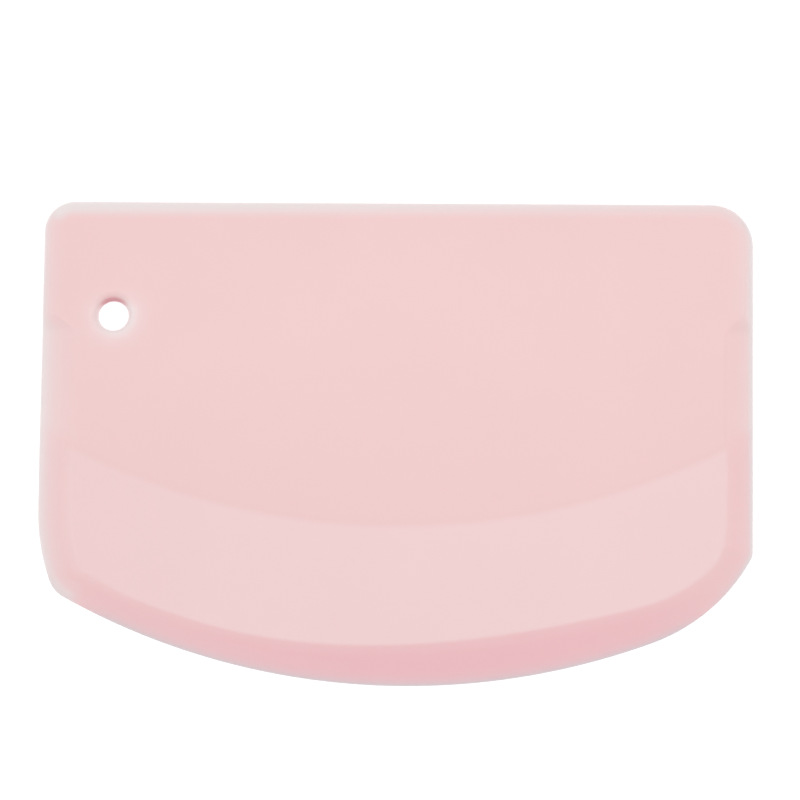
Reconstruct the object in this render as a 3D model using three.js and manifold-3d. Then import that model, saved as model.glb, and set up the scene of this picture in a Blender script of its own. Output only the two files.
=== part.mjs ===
// A flexible scraper card: a silicone jacket moulded around a stiff core plate.
// Millimetres, +Z up. The card lies on its flat back with its front face up, +X along its width and
// +Y towards the straight grip edge. The origin is under the middle of its outline, on the back.

import * as THREE from 'three';
import { mergeVertices } from 'three/addons/utils/BufferGeometryUtils.js';
import Module from 'manifold-3d';

const wasm = await Module();
wasm.setup();

// Outline of the card.
const CARD_WIDTH = 145;
const CARD_HEIGHT = 99.2;
const BODY_THICKNESS = 4.6;
const LEFT_GRIP_CORNER_RADIUS = 6.2;
const RIGHT_GRIP_CORNER_RADIUS = 8.6;

// The curved lip edge, its left end (toe) with a tight corner and its broad right end (heel).
const LIP_RADIUS = 143.6;
const LIP_CENTRE_X = 1.9;
const TOE_RADIUS = 44;
const TOE_RISE = 15; // from where the lip's arc would cross the left side up to where the toe starts
const TOE_CORNER_RADIUS = 9;
const HEEL_RADIUS = 38;
const HEEL_OVERRUN = 4.4; // how far the heel arc would pass the side if nothing trimmed it
const HEEL_BLEND_RADIUS = 8;

// The front face thins from the crease to the bevel line, and again from there to the lip edge.
const CREASE_RADIUS = 146.2;
const CREASE_TO_LIP = 32.2;
const LIP_THICKNESS = 2.2; // at the bevel line
const LIP_EDGE_THICKNESS = 0.7;
const LIP_BEVEL_WIDTH = 8.75;
const LIP_BEVEL_PEAK_X = 25; // where along the lip the bevel is widest
const TOE_BEVEL_FADE = 3.2; // how soon the bevel narrows towards the toe: a power of a cosine
const HEEL_BEVEL_FADE = 0.95; // and towards the heel
const LEFT_BEVEL_WIDTH = 5.9;
const RIGHT_BEVEL_WIDTH = 5.4;
const BEVEL_START = 23.4; // from the grip edge down to where the side bevels begin
const BEVEL_RUNOUT = 4;
const FACE_MARGIN = 1; // flat strip inside the rounded edge where there is no bevel

// Rounded edges.
const FRONT_EDGE_RADIUS = 2;
const BACK_EDGE_RADIUS = 0.6;
const WALL_SHARE = 0.45; // most of a wall's thickness that the rounding of one side may take

// The hang hole, rounded on both faces.
const HANG_HOLE_DIAMETER = 6.2;
const HANG_HOLE_FROM_SIDE = 14.5;
const HANG_HOLE_FROM_GRIP_EDGE = 23.85;
const HANG_HOLE_RIM_RADIUS = 1.7;
const HANG_HOLE_LINING = 3.6; // silicone wall between the hole and the core

// The core plate and the holes that key the silicone through it.
const CORE_THICKNESS = 1.6;
const CORE_MARGIN = 5; // from the card's outline
const CORE_TO_CREASE = 4;
const CORE_CORNER_RADIUS = 3;
const CORE_CLEARANCE = 0.2;
const KEY_HOLE_DIAMETER = 8;
const KEY_PITCH = 20;
const KEY_FIRST_ROW = 12; // from the core's upper edge
const KEY_LAND = 2.5; // least core material around a hole

// Holes that the mould's pins leave in the back, in the rows of key holes and between two of them.
const PIN_HOLE_DIAMETER = 3;
const PIN_PITCHES = 1.5; // from the middle, in key hole pitches

// How finely round shapes are faceted.
const FACET_LENGTH = 4.5;
const FACET_ANGLE = Math.PI / 14;
const FRONT_EDGE_STEPS = 3;
const BACK_EDGE_STEPS = 2;
const RIM_STEPS = 3;
const HANG_HOLE_SIDES = 24;
const ROUND_HOLE_SIDES = 16;
const CORE_ARC_SIDES = 12;

const CUTTER_OVERRUN = 1; // how far a cutter passes the face that it cuts
const SAME_POINT = 1e-4; // points closer than this are one point
const QUARTER_TURN = Math.PI / 2;

// Places that several pieces share.
const sideX = CARD_WIDTH / 2;
const gripY = CARD_HEIGHT / 2;
const lipCircle = { x: LIP_CENTRE_X, y: LIP_RADIUS - gripY, radius: LIP_RADIUS };
const creaseCircle = { x: 0, y: CREASE_RADIUS + CREASE_TO_LIP - gripY, radius: CREASE_RADIUS };
const hangHole = {
  x: HANG_HOLE_FROM_SIDE - sideX,
  y: gripY - HANG_HOLE_FROM_GRIP_EDGE,
  radius: HANG_HOLE_DIAMETER / 2,
};
const coreZ = (BODY_THICKNESS - CORE_THICKNESS) / 2;

// Circle that touches the upright line x = lineX and, from inside, the lower part of a larger circle.
function circleInCorner(lineX, radius, outer) {
  const x = lineX - Math.sign(lineX) * radius;
  const reach = outer.radius - radius;
  const y = outer.y - Math.sqrt(reach ** 2 - (x - outer.x) ** 2);
  return { x, y, radius };
}

// Circle that touches two larger circles from inside, in the left one of the corners where they cross.
function circleInBoth(first, second, radius) {
  const fromFirst = first.radius - radius;
  const fromSecond = second.radius - radius;
  const apart = Math.hypot(second.x - first.x, second.y - first.y);
  const along = (fromFirst ** 2 - fromSecond ** 2 + apart ** 2) / (2 * apart);
  const swing = Math.acos(along / fromFirst);
  const angles = [bearing(first, second) - swing, bearing(first, second) + swing];
  const centres = angles.map((angle) => {
    return { x: first.x + fromFirst * Math.cos(angle), y: first.y + fromFirst * Math.sin(angle), radius };
  });
  return centres[0].x < centres[1].x ? centres[0] : centres[1];
}

// Direction from one circle's centre to another's, between 0 and a full turn.
function bearing(from, to) {
  const angle = Math.atan2(to.y - from.y, to.x - from.x);
  return angle < 0 ? angle + 2 * Math.PI : angle;
}

// The card's outline, anticlockwise from the upper left corner, smooth all the way round.
function cardOutline() {
  const lipAtSide = lipCircle.y - Math.sqrt(lipCircle.radius ** 2 - (sideX + lipCircle.x) ** 2);
  const toe = { x: TOE_RADIUS - sideX, y: lipAtSide + TOE_RISE, radius: TOE_RADIUS };
  const toeCorner = circleInBoth(toe, lipCircle, TOE_CORNER_RADIUS);
  const heel = circleInCorner(sideX + HEEL_OVERRUN, HEEL_RADIUS, lipCircle);
  const blend = circleInCorner(sideX, HEEL_BLEND_RADIUS, heel);
  const toeEnd = bearing(toe, toeCorner);
  const lipStart = bearing(lipCircle, toeCorner);
  const heelStart = bearing(lipCircle, heel);
  const heelEnd = bearing(heel, blend);
  const left = LEFT_GRIP_CORNER_RADIUS;
  const right = RIGHT_GRIP_CORNER_RADIUS;
  const outline = new THREE.Shape();
  outline.absarc(left - sideX, gripY - left, left, QUARTER_TURN, Math.PI);
  outline.absarc(toe.x, toe.y, toe.radius, Math.PI, toeEnd);
  outline.absarc(toeCorner.x, toeCorner.y, toeCorner.radius, toeEnd, lipStart);
  outline.absarc(lipCircle.x, lipCircle.y, lipCircle.radius, lipStart, heelStart);
  outline.absarc(heel.x, heel.y, heel.radius, heelStart, heelEnd);
  outline.absarc(blend.x, blend.y, blend.radius, heelEnd, 2 * Math.PI);
  outline.absarc(sideX - right, gripY - right, right, 0, QUARTER_TURN);
  outline.closePath();
  return outline;
}

// Points along an outline, each with the direction that points into the outline.
function outlineStations(outline) {
  const stations = [];
  for (const curve of outline.curves) {
    const length = curve.getLength();
    const sweep = curve.getTangent(0).angleTo(curve.getTangent(1));
    const facets = Math.ceil(Math.max(length / FACET_LENGTH, sweep / FACET_ANGLE));
    const steps = length < SAME_POINT ? 0 : facets;
    for (let step = 0; step < steps; step += 1) {
      const point = curve.getPoint(step / steps);
      const tangent = curve.getTangent(step / steps);
      stations.push({ point, inward: new THREE.Vector2(-tangent.y, tangent.x) });
    }
  }
  return stations;
}

// How far a point lies past the crease, towards the lip.
function pastCrease(x, y) {
  const distance = Math.hypot(x - creaseCircle.x, y - creaseCircle.y);
  return Math.max(0, distance - creaseCircle.radius);
}

// Height of the front face before the bevel is cut.
function frontHeight(x, y) {
  const taper = (BODY_THICKNESS - LIP_THICKNESS) / (CREASE_TO_LIP - LIP_BEVEL_WIDTH);
  return BODY_THICKNESS - taper * pastCrease(x, y);
}

// How much of the bevel a point has: none above its start, all of it below the run-out.
function bevelShare(y) {
  const start = gripY - BEVEL_START;
  return 1 - THREE.MathUtils.smoothstep(y, start - BEVEL_RUNOUT, start);
}

// Width of the bevel at x along the card, widest at its peak on the lip.
function bevelWidth(x) {
  const toe = { x: -sideX, width: LEFT_BEVEL_WIDTH, fade: TOE_BEVEL_FADE };
  const heel = { x: sideX, width: RIGHT_BEVEL_WIDTH, fade: HEEL_BEVEL_FADE };
  const end = x < LIP_BEVEL_PEAK_X ? toe : heel;
  const away = Math.min(1, (x - LIP_BEVEL_PEAK_X) / (end.x - LIP_BEVEL_PEAK_X));
  const peak = Math.cos(away * QUARTER_TURN) ** end.fade;
  return THREE.MathUtils.lerp(end.width, LIP_BEVEL_WIDTH, peak);
}

// Points of a quarter round from a flat face to a wall: along is 0 at the wall and 1 where the face
// starts, and down is 0 on the face and 1 where the wall starts.
function quarterRound(steps) {
  const points = [];
  for (let step = 0; step <= steps; step += 1) {
    const turn = (step / steps) * QUARTER_TURN;
    points.push({ along: 1 - Math.sin(turn), down: 1 - Math.cos(turn) });
  }
  return points;
}

// The jacket's section at one station: points from the back face, round the edge, to the bevel line.
function edgeSection({ point, inward }) {
  const share = bevelShare(point.y);
  const width = THREE.MathUtils.lerp(FRONT_EDGE_RADIUS + FACE_MARGIN, bevelWidth(point.x), share);
  const bevelLine = point.clone().addScaledVector(inward, width);
  const bevelLineZ = frontHeight(bevelLine.x, bevelLine.y);
  const drop = (LIP_THICKNESS - LIP_EDGE_THICKNESS) * share;
  const edgeZ = bevelLineZ - drop;
  const front = Math.min(FRONT_EDGE_RADIUS, WALL_SHARE * edgeZ);
  const back = Math.min(BACK_EDGE_RADIUS, WALL_SHARE * edgeZ);
  const frontZ = edgeZ + (drop * front) / width;
  const atHeight = (inset, z) => {
    const place = point.clone().addScaledVector(inward, inset);
    return new THREE.Vector3(place.x, place.y, z);
  };
  const backRound = quarterRound(BACK_EDGE_STEPS);
  const frontRound = quarterRound(FRONT_EDGE_STEPS).reverse();
  return [
    ...backRound.map(({ along, down }) => atHeight(back * along, back * down)),
    ...frontRound.map(({ along, down }) => atHeight(front * along, frontZ - front * down)),
    atHeight(width, bevelLineZ),
  ];
}

// Where the body face ends, going out to a point on the bevel line: on the crease, or at the point.
function bodyEdge(point) {
  const past = pastCrease(point.x, point.y);
  const crease = new THREE.Vector3(creaseCircle.x, creaseCircle.y, BODY_THICKNESS);
  const level = new THREE.Vector3(point.x, point.y, BODY_THICKNESS);
  const onCrease = level.sub(crease).setLength(creaseCircle.radius).add(crease);
  return past > SAME_POINT ? onCrease : point;
}

// The jacket's outside as one closed skin: the back, the rounded edge, the bevel, the lip ruled
// between the bevel line and the crease, and the body face. Strips join the rings of points, and
// fans close the two flat faces.
function jacketSkin() {
  const sections = outlineStations(cardOutline()).map(edgeSection);
  const backMiddle = new THREE.Vector3(0, 0, 0);
  const bodyMiddle = new THREE.Vector3(0, gripY / 2, BODY_THICKNESS);
  const rings = sections.map((section) => {
    return [backMiddle, ...section, bodyEdge(section.at(-1)), bodyMiddle];
  });
  const corners = [];
  rings.forEach((ring, index) => {
    const next = rings[(index + 1) % rings.length];
    for (let level = 0; level + 1 < ring.length; level += 1) {
      corners.push(ring[level], next[level], next[level + 1]);
      corners.push(ring[level], next[level + 1], ring[level + 1]);
    }
  });
  return new THREE.BufferGeometry().setFromPoints(corners);
}

// Spool-shaped cutter for the hang hole: straight at its waist and flared to a rounded rim.
function hangHoleCutter() {
  const rim = Math.min(HANG_HOLE_RIM_RADIUS, WALL_SHARE * BODY_THICKNESS);
  const flare = hangHole.radius + rim;
  const top = BODY_THICKNESS + CUTTER_OVERRUN;
  const lowerRim = quarterRound(RIM_STEPS);
  const upperRim = quarterRound(RIM_STEPS).reverse();
  const profile = [
    new THREE.Vector2(0, -CUTTER_OVERRUN),
    new THREE.Vector2(flare, -CUTTER_OVERRUN),
    ...lowerRim.map(({ along, down }) => new THREE.Vector2(hangHole.radius + rim * along, rim * down)),
    ...upperRim.map(({ along, down }) => {
      return new THREE.Vector2(hangHole.radius + rim * along, BODY_THICKNESS - rim * down);
    }),
    new THREE.Vector2(flare, top),
    new THREE.Vector2(0, top),
  ];
  const cutter = new THREE.LatheGeometry(profile, HANG_HOLE_SIDES);
  return solid(cutter.rotateX(QUARTER_TURN).translate(hangHole.x, hangHole.y, 0));
}

// Edges of the core plate, grown outwards by a clearance.
function coreEdges(grow) {
  const arcRadius = creaseCircle.radius - CORE_TO_CREASE + grow;
  return {
    half: sideX - CORE_MARGIN + grow,
    top: gripY - CORE_MARGIN + grow,
    arc: { x: creaseCircle.x, y: creaseCircle.y, radius: arcRadius },
    cornerRadius: CORE_CORNER_RADIUS + grow,
  };
}

// Outline of the core plate: straight on three sides, with a lower edge that follows the crease.
function coreOutline(grow) {
  const { half, top, arc, cornerRadius } = coreEdges(grow);
  const leftFoot = circleInCorner(-half, cornerRadius, arc);
  const rightFoot = circleInCorner(half, cornerRadius, arc);
  const leftEnd = bearing(arc, leftFoot);
  const rightStart = bearing(arc, rightFoot);
  const outline = new THREE.Shape();
  outline.absarc(cornerRadius - half, top - cornerRadius, cornerRadius, QUARTER_TURN, Math.PI);
  outline.absarc(leftFoot.x, leftFoot.y, cornerRadius, Math.PI, leftEnd);
  outline.absarc(arc.x, arc.y, arc.radius, leftEnd, rightStart);
  outline.absarc(rightFoot.x, rightFoot.y, cornerRadius, rightStart, 2 * Math.PI);
  outline.absarc(half - cornerRadius, top - cornerRadius, cornerRadius, 0, QUARTER_TURN);
  outline.closePath();
  const points = outline.getPoints(CORE_ARC_SIDES / 2);
  return points.filter((point, index) => point.distanceTo(points.at(index - 1)) > SAME_POINT);
}

// Whether a round hole in the core keeps its land to the core's edges and to the hang hole.
function fitsCore(x, y, radius) {
  const { half, top, arc } = coreEdges(0);
  const reach = radius + KEY_LAND;
  const insideSides = Math.abs(x) + reach <= half;
  const insideEnds = y + reach <= top && Math.hypot(x - arc.x, y - arc.y) + reach <= arc.radius;
  const fromHangHole = Math.hypot(x - hangHole.x, y - hangHole.y);
  return insideSides && insideEnds && fromHangHole >= hangHole.radius + HANG_HOLE_LINING + reach;
}

// Heights of the rows of key holes, down from the core's upper edge.
function keyRows() {
  const rows = [];
  const first = coreEdges(0).top - KEY_FIRST_ROW;
  for (let y = first; fitsCore(0, y, KEY_HOLE_DIAMETER / 2); y -= KEY_PITCH) {
    rows.push(y);
  }
  return rows;
}

// Round holes of one size in the rows of key holes, at the given pitches from the middle, where the
// core has room for them.
function holesInRows(pitches, diameter) {
  const radius = diameter / 2;
  const holes = keyRows().flatMap((y) => pitches.map((pitch) => ({ x: pitch * KEY_PITCH, y, radius })));
  return holes.filter((hole) => fitsCore(hole.x, hole.y, radius));
}

// Key holes, a square grid about the middle of the core.
function keyHoles() {
  const columns = Math.floor(sideX / KEY_PITCH);
  const pitches = Array.from({ length: 2 * columns + 1 }, (_, index) => index - columns);
  return holesInRows(pitches, KEY_HOLE_DIAMETER);
}

// Holes for the mould's pins, one to each side of the middle in each row.
function pinHoles() {
  return holesInRows([-PIN_PITCHES, PIN_PITCHES], PIN_HOLE_DIAMETER);
}

// Round post from one height to another, for cutting a hole.
function post({ x, y, radius }, bottom, top) {
  const cylinder = new THREE.CylinderGeometry(radius, radius, top - bottom, ROUND_HOLE_SIDES);
  return solid(cylinder.rotateX(QUARTER_TURN).translate(x, y, (bottom + top) / 2));
}

// The core plate with its holes, grown by a clearance, so that the holes shrink by as much.
function corePlate(grow) {
  const bottom = coreZ - grow;
  const top = coreZ + CORE_THICKNESS + grow;
  const outline = new THREE.Shape(coreOutline(grow));
  const slab = new THREE.ExtrudeGeometry(outline, { depth: top - bottom, bevelEnabled: false });
  const linedHole = { ...hangHole, radius: hangHole.radius + HANG_HOLE_LINING };
  let plate = solid(slab.translate(0, 0, bottom));
  for (const hole of [linedHole, ...keyHoles()]) {
    const left = { ...hole, radius: hole.radius - grow };
    plate = plate.subtract(post(left, bottom - CUTTER_OVERRUN, top + CUTTER_OVERRUN));
  }
  return plate;
}

// Solid of a closed geometry, for joining and cutting.
function solid(geometry) {
  const bare = geometry.clone();
  bare.deleteAttribute('normal');
  bare.deleteAttribute('uv');
  const merged = mergeVertices(bare, SAME_POINT);
  const vertProperties = new Float32Array(merged.attributes.position.array);
  const triVerts = new Uint32Array(withoutSlivers(merged.index.array));
  return new wasm.Manifold(new wasm.Mesh({ numProp: 3, vertProperties, triVerts }));
}

// Triangles whose three corners are different points.
function withoutSlivers(index) {
  const kept = [];
  for (let start = 0; start < index.length; start += 3) {
    const [a, b, c] = index.slice(start, start + 3);
    if (a !== b && b !== c && c !== a) {
      kept.push(a, b, c);
    }
  }
  return kept;
}

// Named mesh of a solid.
function meshOf(body, name, material) {
  const { vertProperties, triVerts } = body.getMesh();
  const geometry = new THREE.BufferGeometry();
  geometry.setAttribute('position', new THREE.BufferAttribute(new Float32Array(vertProperties), 3));
  geometry.setIndex(new THREE.BufferAttribute(new Uint32Array(triVerts), 1));
  geometry.computeVertexNormals();
  const mesh = new THREE.Mesh(geometry, material);
  mesh.name = name;
  return mesh;
}

// The silicone jacket, with its hang hole, the space for the core and the pin holes in its back.
function siliconeJacket() {
  let body = solid(jacketSkin());
  body = body.subtract(hangHoleCutter());
  body = body.subtract(corePlate(CORE_CLEARANCE));
  for (const hole of pinHoles()) {
    body = body.subtract(post(hole, -CUTTER_OVERRUN, coreZ));
  }
  const pinkSilicone = new THREE.MeshStandardMaterial({ color: 0xf1cfcf, roughness: 0.38, metalness: 0 });
  return meshOf(body, 'silicone_jacket', pinkSilicone);
}

// The stiff core plate inside the jacket.
function nylonCore() {
  const naturalNylon = new THREE.MeshStandardMaterial({ color: 0xe9e4d8, roughness: 0.6, metalness: 0 });
  return meshOf(corePlate(0), 'core_plate', naturalNylon);
}

const scraperCard = new THREE.Group();
scraperCard.add(siliconeJacket(), nylonCore());

export default scraperCard;
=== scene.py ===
"""Looks of a flexible scraper card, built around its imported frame.

The card lies on its back on a pale floor, with +X along its width, +Y towards the straight grip edge
and +Z out of its front face. The classes hold sizes in millimetres, and meshes are made in metres.
"""

import logging
import math
from dataclasses import dataclass
from enum import Enum

import bmesh
import bpy
from mathutils import Matrix, Vector


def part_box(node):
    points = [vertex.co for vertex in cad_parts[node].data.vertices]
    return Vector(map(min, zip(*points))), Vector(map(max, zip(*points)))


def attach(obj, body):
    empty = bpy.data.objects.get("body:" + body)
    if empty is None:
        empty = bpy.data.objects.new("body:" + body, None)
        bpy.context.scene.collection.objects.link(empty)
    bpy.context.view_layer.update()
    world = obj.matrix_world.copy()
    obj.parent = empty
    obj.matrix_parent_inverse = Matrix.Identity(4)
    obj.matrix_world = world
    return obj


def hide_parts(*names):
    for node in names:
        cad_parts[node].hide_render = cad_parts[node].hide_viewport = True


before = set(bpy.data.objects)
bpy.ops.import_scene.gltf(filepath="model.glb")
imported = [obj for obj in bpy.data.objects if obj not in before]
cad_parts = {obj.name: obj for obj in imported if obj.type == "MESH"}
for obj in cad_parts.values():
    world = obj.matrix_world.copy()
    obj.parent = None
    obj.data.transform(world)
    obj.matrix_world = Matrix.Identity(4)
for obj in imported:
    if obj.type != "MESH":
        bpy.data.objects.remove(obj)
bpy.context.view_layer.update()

log = logging.getLogger("scraper_card")

MM = 0.001
SAME_PLACE = 1e-3 * MM
QUARTER_TURN = math.pi / 2
FULL_TURN = 2 * math.pi
ROUNDING_PARTS = 8

Range = tuple[float, float]
Colour = tuple[float, float, float]
Piece = bpy.types.Object
Socket = bpy.types.NodeSocket

WHOLE: Range = (0.0, 1.0)
WHITE: Colour = (1.0, 1.0, 1.0)


def lerp(start: float, end: float, share: float) -> float:
    """Value between start and end."""
    return start + (end - start) * share


def smoothstep(value: float, low: float, high: float) -> float:
    """Smooth rise from 0 at low to 1 at high."""
    share = min(1.0, max(0.0, (value - low) / (high - low)))
    return share * share * (3.0 - 2.0 * share)


def smoothfall(value: float, low: float, high: float) -> float:
    """Smooth fall from 1 at low to 0 at high."""
    return 1.0 - smoothstep(value, low, high)


def soft_turn(start: Vector, corner: Vector, end: Vector, steps: int) -> list[Vector]:
    """Points of a soft turn that leaves start towards corner and comes to end.

    Args:
        start: First point.
        corner: Point that the turn bends towards.
        end: Last point.
        steps: Number of stretches.

    Returns:
        The points, with both ends.
    """
    points = []
    for step in range(steps + 1):
        t = step / steps
        points.append((1 - t) ** 2 * start + 2 * t * (1 - t) * corner + t * t * end)
    return points


def rounding(turn: float, steps: int) -> list[Vector]:
    """Points of a soft rounding of radius 1, from an upright wall until it leans in by a turn.

    Its bend grows from nothing and fades again, so that no line shows where it meets its neighbours.

    Args:
        turn: Angle that the rounding turns by.
        steps: Number of stretches.

    Returns:
        The points, as distances in from the wall and up along it.
    """
    place = Vector((0.0, 0.0))
    points = [place.copy()]
    for step in range(steps):
        for part in range(ROUNDING_PARTS):
            done = (step + (part + 0.5) / ROUNDING_PARTS) / steps
            lean = turn * smoothstep(done, *WHOLE)
            place += Vector((math.sin(lean), math.cos(lean)))
        points.append(place.copy())
    scale = (1 - math.cos(turn)) / place.x
    return [point * scale for point in points]


class Tint(Enum):
    """Share of a colour that the points of the silicone carry: painted light at the rims, painted shade
    on the bevel, the lip's edge and the hang hole, and the bevel's own share.
    """

    PAINTED_RIM_LIGHT = "painted_rim_light"
    PAINTED_BEVEL_SHADE = "painted_bevel_shade"
    BEVEL = "bevel"
    PAINTED_EDGE_SHADE = "painted_edge_shade"
    HOLE_SHADE = "hole_shade"


class Opening(Enum):
    """How a round hole goes into the jacket."""

    THROUGH = "through both faces"
    FROM_BACK = "in from the back, as far as the core"


class Corner(Enum):
    """A tight corner of the outline, by its place among the round stretches."""

    TOE = 2
    HEEL = 5


class LampPlace(Enum):
    """Where a soft light hangs around the card."""

    OVER_BODY = "over the flat body"
    UPPER_LEFT = "high up, to the left of the card"
    UPPER_RIGHT = "high up, to the right of the card"
    LEFT = "to the left of the card"
    RIGHT = "to the right of the card"


@dataclass(frozen=True)
class Circle:
    """A circle in the plan of the card."""

    x: float
    y: float
    radius: float

    @property
    def centre(self) -> Vector:
        """Centre as a vector."""
        return Vector((self.x, self.y))

    def bearing(self, other: "Circle") -> float:
        """Direction from this centre to another circle's, between 0 and a full turn."""
        return math.atan2(other.y - self.y, other.x - self.x) % FULL_TURN

    def corner_with(self, other: "Circle", radius: float) -> "Circle":
        """Circle that touches this one and another from inside, in their left corner.

        Args:
            other: Second of the two circles, which cross each other.
            radius: Radius of the circle wanted.

        Returns:
            The circle that fits in the corner.
        """
        reach, other_reach = self.radius - radius, other.radius - radius
        apart = (other.centre - self.centre).length
        swing = math.acos((reach**2 - other_reach**2 + apart**2) / (2 * apart * reach))
        found = []
        for angle in (self.bearing(other) - swing, self.bearing(other) + swing):
            x, y = self.x + reach * math.cos(angle), self.y + reach * math.sin(angle)
            found.append(Circle(x, y, radius))
        return min(found, key=lambda circle: circle.x)

    def corner(self, line_x: float, radius: float) -> "Circle":
        """Circle that touches an upright line and, from inside, the lower part of this circle.

        Args:
            line_x: Place of the upright line.
            radius: Radius of the circle wanted.

        Returns:
            The circle that fits in the corner.
        """
        x = line_x - math.copysign(radius, line_x)
        reach = self.radius - radius
        return Circle(x, self.y - math.sqrt(reach**2 - (x - self.x) ** 2), radius)


@dataclass(frozen=True)
class Station:
    """A place on the card's outline."""

    point: Vector
    inward: Vector

    def inset(self, distance: float) -> Vector:
        """Point in the plan at a distance in from the outline."""
        return self.point + self.inward * distance

    def at(self, distance: float, height: float) -> Vector:
        """Point at a distance in from the outline and a height above the back."""
        plan = self.inset(distance)
        return Vector((plan.x, plan.y, height))


@dataclass(frozen=True)
class Arc:
    """A round stretch of an outline, travelled anticlockwise."""

    circle: Circle
    start: float
    end: float

    def station(self, angle: float) -> Station:
        """Station on the arc, at an angle about its centre."""
        outward = Vector((math.cos(angle), math.sin(angle)))
        return Station(self.circle.centre + outward * self.circle.radius, -outward)

    def stations(self, spacing: float, turn: float) -> list[Station]:
        """Stations along the arc, with both ends.

        Args:
            spacing: Most that two stations may lie apart.
            turn: Most that the outline may turn between two stations.

        Returns:
            The stations, in the order of travel.
        """
        sweep = self.end - self.start
        steps = math.ceil(max(sweep * self.circle.radius / spacing, sweep / turn))
        return [self.station(lerp(self.start, self.end, step / steps)) for step in range(steps + 1)]


@dataclass(frozen=True)
class CardOutline:
    """The card's outline: a straight grip edge, two upright sides and a curved lip."""

    width: float
    height: float
    left_grip_corner: float = 6.2
    right_grip_corner: float = 8.6
    lip_radius: float = 143.6
    lip_centre_x: float = 1.9
    toe_radius: float = 44.0
    toe_rise: float = 15.0
    toe_corner_radius: float = 6.5
    heel_radius: float = 38.0
    heel_overrun: float = 4.4
    heel_blend_radius: float = 3.0
    ease: float = 7.0
    spacing: float = 0.8
    turn: float = math.radians(3.0)

    @property
    def side_x(self) -> float:
        """Place of the right side."""
        return self.width / 2

    @property
    def grip_y(self) -> float:
        """Place of the grip edge."""
        return self.height / 2

    def across(self, plan: Vector) -> float:
        """Share of the width at which a point in the plan lies, from the left."""
        return plan.x / self.width + 0.5

    def arcs(self) -> list[Arc]:
        """Works out the round stretches of the outline.

        Returns:
            The arcs, anticlockwise from the upper left corner.
        """
        side, grip = self.side_x, self.grip_y
        left, right = self.left_grip_corner, self.right_grip_corner
        lip = Circle(self.lip_centre_x, self.lip_radius - grip, self.lip_radius)
        lip_at_side = lip.y - math.sqrt(lip.radius**2 - (side + lip.x) ** 2)
        toe = Circle(self.toe_radius - side, lip_at_side + self.toe_rise, self.toe_radius)
        toe_corner = toe.corner_with(lip, self.toe_corner_radius)
        heel = lip.corner(side + self.heel_overrun, self.heel_radius)
        blend = heel.corner(side, self.heel_blend_radius)
        return [
            Arc(Circle(left - side, grip - left, left), QUARTER_TURN, math.pi),
            Arc(toe, math.pi, toe.bearing(toe_corner)),
            Arc(toe_corner, toe.bearing(toe_corner), lip.bearing(toe_corner)),
            Arc(lip, lip.bearing(toe_corner), lip.bearing(heel)),
            Arc(heel, lip.bearing(heel), heel.bearing(blend)),
            Arc(blend, heel.bearing(blend), FULL_TURN),
            Arc(Circle(side - right, grip - right, right), 0.0, QUARTER_TURN),
        ]

    def corner(self, corner: Corner) -> Vector:
        """Middle of a tight corner."""
        arc = self.arcs()[corner.value]
        return arc.station((arc.start + arc.end) / 2).point

    def eased(self, stations: list[Station]) -> list[Station]:
        """Stations whose inward directions turn more gently than the outline at its tight corners.

        Args:
            stations: Stations all round the outline.

        Returns:
            The stations, those far from the corners as they were.
        """
        eased = []
        corners = [self.corner(corner) for corner in Corner]
        for station in stations:
            away = min((station.point - corner).length for corner in corners)
            near = smoothfall(away, self.ease, 2 * self.ease)
            total = Vector((0.0, 0.0))
            if near > 0:
                for index, other in enumerate(stations):
                    weight = max(0.0, 1.0 - (other.point - station.point).length / self.ease)
                    stretch = (other.point - stations[index - 1].point).length
                    total += other.inward * (weight * stretch)
            inward = station.inward.lerp(total.normalized(), near)
            eased.append(Station(station.point, inward.normalized()))
        return eased

    def stations(self) -> list[Station]:
        """Sets out the stations of the arcs and of the straight sides between them.

        Returns:
            The stations all round the outline.
        """
        stations: list[Station] = []
        arcs = [arc.stations(self.spacing, self.turn) for arc in self.arcs()]
        for index, arc in enumerate(arcs):
            following = arcs[(index + 1) % len(arcs)][0]
            last = arc[-1]
            gap = following.point - last.point
            steps = math.floor(gap.length / self.spacing)
            stations.extend(arc[:-1])
            if steps > 0:
                stations.append(last)
            for step in range(1, steps):
                stations.append(Station(last.point + gap * (step / steps), last.inward))
        return self.eased(stations)


def select_only(*pieces: Piece) -> None:
    """Selects some pieces and nothing else, and makes the last one active.

    Args:
        pieces: Objects to select.
    """
    bpy.ops.object.select_all(action="DESELECT")
    for piece in pieces:
        piece.select_set(True)
        bpy.context.view_layer.objects.active = piece


class RingModel:
    """An open skin that is modelled ring by ring in edit mode, from a circle."""

    def __init__(self, name: str, ring: list[Vector]) -> None:
        """Adds a circle with a point for each place of the first ring.

        Args:
            name: Name of the object.
            ring: Places of the first ring, in millimetres.
        """
        bpy.ops.object.select_all(action="DESELECT")
        bpy.ops.mesh.primitive_circle_add(vertices=len(ring), radius=ring[0].length * MM)
        self.piece = bpy.context.active_object
        self.piece.name = self.piece.data.name = name
        bpy.ops.object.mode_set(mode="EDIT")
        bpy.ops.mesh.select_mode(type="VERT")
        bpy.ops.mesh.select_all(action="SELECT")
        self._place(ring)

    def _place(self, ring: list[Vector]) -> None:
        """Sets the selected points, the newest ring, in place.

        Args:
            ring: Place of each point, in millimetres.
        """
        shape = bmesh.from_edit_mesh(self.piece.data)
        newest = [point for point in shape.verts if point.select]
        for point, place in zip(newest, ring, strict=True):
            point.co = place * MM
        bmesh.update_edit_mesh(self.piece.data)

    def extrude(self, ring: list[Vector]) -> None:
        """Extrudes the newest ring and sets the new one in place."""
        bpy.ops.mesh.extrude_edges_move()
        self._place(ring)

    def cap(self) -> None:
        """Closes the newest ring with a face."""
        bpy.ops.mesh.edge_face_add()

    def finish(self) -> Piece:
        """Leaves edit mode and returns the object."""
        bpy.ops.object.mode_set(mode="OBJECT")
        return self.piece


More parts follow.
